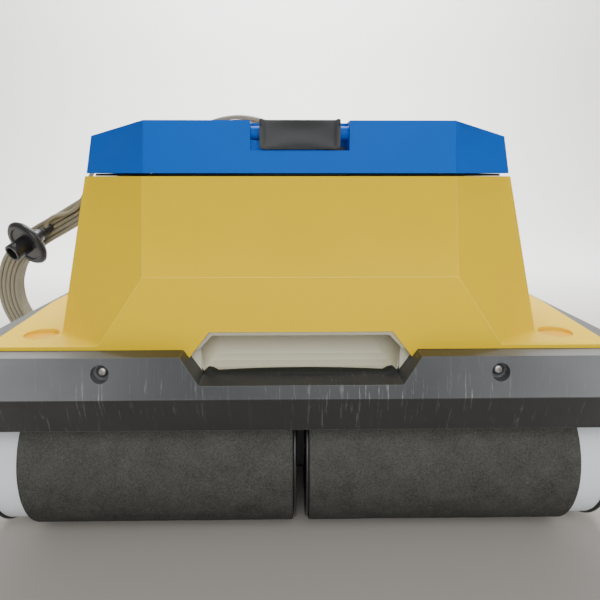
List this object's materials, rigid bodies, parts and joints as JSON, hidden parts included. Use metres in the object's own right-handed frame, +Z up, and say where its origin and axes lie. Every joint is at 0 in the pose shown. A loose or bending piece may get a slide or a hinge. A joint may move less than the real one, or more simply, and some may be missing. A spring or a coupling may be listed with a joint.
{
  "type": "pool cleaner",
  "caption": "Robotic pool cleaner with a faceted hull, lift-off cover with pull latches, gripped bumpers, foam drive rollers, pump, filters and a coiled floating cable.",
  "frame": {"origin": "middle of the machine's footprint on the surface it stands on, cable left out", "axes": "+X to the machine's right seen from the front along the rollers, +Y from the front to the rear, +Z up"},
  "size_m": [0.8879, 0.6167, 0.4678],
  "materials": {
    "hull_yellow": "glossy moulded",
    "cover_blue": "glossy moulded",
    "collar_dark": "satin",
    "latch_grey": "satin",
    "bumper_slate": "scratched satin",
    "stainless": "turned",
    "liner_cream": "satin",
    "chassis_slate": "satin",
    "side_grey": "satin",
    "black_plastic": "satin",
    "roller_white": "satin",
    "roller_foam": "dense porous foam",
    "hub_black": "satin",
    "belt_rubber": "matte",
    "motor_grey": "satin",
    "filter_white": "satin",
    "cable_beige": "satin"
  },
  "bodies": {
    "chassis": {"hull_shell": "hull_yellow", "top_collar": "collar_dark", "bumper_front": "bumper_slate", "bumper_rear": "bumper_slate", "bumper_screw_1": "stainless", "bumper_screw_2": "stainless", "bumper_screw_3": "stainless", "bumper_screw_4": "stainless", "grip_liner_front": "liner_cream", "grip_liner_rear": "liner_cream", "chassis_tray": "chassis_slate", "side_cover_left": "side_grey", "side_cover_right": "side_grey", "axle_front": "stainless", "axle_rear": "stainless", "center_bracket_front": "black_plastic", "center_bracket_rear": "black_plastic", "belt_left": "belt_rubber", "belt_right": "belt_rubber", "drive_motor_left": "motor_grey", "drive_motor_right": "motor_grey", "pump_duct": "motor_grey", "pump_motor": "black_plastic", "filter_cartridge_left": "filter_white", "filter_cartridge_right": "filter_white", "cable_gland": "black_plastic", "cable_coil": "cable_beige", "cable_lead": "cable_beige", "cable_tail": "cable_beige", "plug_body": "black_plastic", "plug_collar": "black_plastic"},
    "cover": {"top_cover": "cover_blue", "outlet_grille": "black_plastic", "latch_pin_front": "stainless", "latch_pin_rear": "stainless"},
    "front_latch": {"latch_front": "latch_grey"},
    "rear_latch": {"latch_rear": "latch_grey"},
    "left_pulley": {"drive_pulley_left": "black_plastic"},
    "right_pulley": {"drive_pulley_right": "black_plastic"},
    "pump_wheel": {"impeller": "liner_cream"},
    "front_flap": {"intake_flap_front": "belt_rubber"},
    "rear_flap": {"intake_flap_rear": "belt_rubber"},
    "roller_front_left": {"roller_tube_front_left": "roller_white", "roller_foam_front_left": "roller_foam", "inner_hub_front_left": "hub_black", "outer_hub_front_left": "hub_black"},
    "roller_front_right": {"roller_tube_front_right": "roller_white", "roller_foam_front_right": "roller_foam", "inner_hub_front_right": "hub_black", "outer_hub_front_right": "hub_black"},
    "roller_rear_left": {"roller_tube_rear_left": "roller_white", "roller_foam_rear_left": "roller_foam", "inner_hub_rear_left": "hub_black", "outer_hub_rear_left": "hub_black"},
    "roller_rear_right": {"roller_tube_rear_right": "roller_white", "roller_foam_rear_right": "roller_foam", "inner_hub_rear_right": "hub_black", "outer_hub_rear_right": "hub_black"}
  },
  "joints": [
    {"name": "cover_lift", "type": "slide", "parent": "chassis", "child": "cover", "axis": [0, 0, 1], "range_m": [0, 0.12]},
    {"name": "front_latch_pull", "type": "hinge", "parent": "cover", "child": "front_latch", "pos_m": [0, -0.182, 0.404], "axis": [-1, 0, 0], "range_deg": [0, 35], "stiffness_Nm_per_rad": 0.3},
    {"name": "rear_latch_pull", "type": "hinge", "parent": "cover", "child": "rear_latch", "pos_m": [0, 0.182, 0.404], "axis": [1, 0, 0], "range_deg": [0, 35], "stiffness_Nm_per_rad": 0.3},
    {"name": "pump_spin", "type": "hinge", "parent": "chassis", "child": "pump_wheel", "pos_m": [0, 0, 0.189], "axis": [0, 0, 1], "continuous": true},
    {"name": "front_flap_open", "type": "hinge", "parent": "chassis", "child": "front_flap", "pos_m": [0, -0.071, 0.0407], "axis": [-1, 0, 0], "range_deg": [0, 60]},
    {"name": "rear_flap_open", "type": "hinge", "parent": "chassis", "child": "rear_flap", "pos_m": [0, 0.071, 0.0407], "axis": [1, 0, 0], "range_deg": [0, 60]},
    {"name": "front_left_roller_spin", "type": "hinge", "parent": "chassis", "child": "roller_front_left", "pos_m": [0, -0.188, 0.0755], "axis": [1, 0, 0], "continuous": true},
    {"name": "front_right_roller_spin", "type": "hinge", "parent": "chassis", "child": "roller_front_right", "pos_m": [0, -0.188, 0.0755], "axis": [1, 0, 0], "continuous": true},
    {"name": "rear_left_roller_spin", "type": "hinge", "parent": "chassis", "child": "roller_rear_left", "pos_m": [0, 0.188, 0.0755], "axis": [1, 0, 0], "continuous": true},
    {"name": "rear_right_roller_spin", "type": "hinge", "parent": "chassis", "child": "roller_rear_right", "pos_m": [0, 0.188, 0.0755], "axis": [1, 0, 0], "continuous": true},
    {"name": "left_pulley_spin", "type": "hinge", "parent": "chassis", "child": "left_pulley", "pos_m": [0, 0, 0.12], "axis": [1, 0, 0], "continuous": true},
    {"name": "right_pulley_spin", "type": "hinge", "parent": "chassis", "child": "right_pulley", "pos_m": [0, 0, 0.12], "axis": [1, 0, 0], "continuous": true}
  ],
  "couplings": [
    {"joint": "rear_left_roller_spin", "follows": "front_left_roller_spin", "ratio": 1},
    {"joint": "left_pulley_spin", "follows": "front_left_roller_spin", "ratio": 1.3636},
    {"joint": "rear_right_roller_spin", "follows": "front_right_roller_spin", "ratio": 1},
    {"joint": "right_pulley_spin", "follows": "front_right_roller_spin", "ratio": 1.3636}
  ]
}
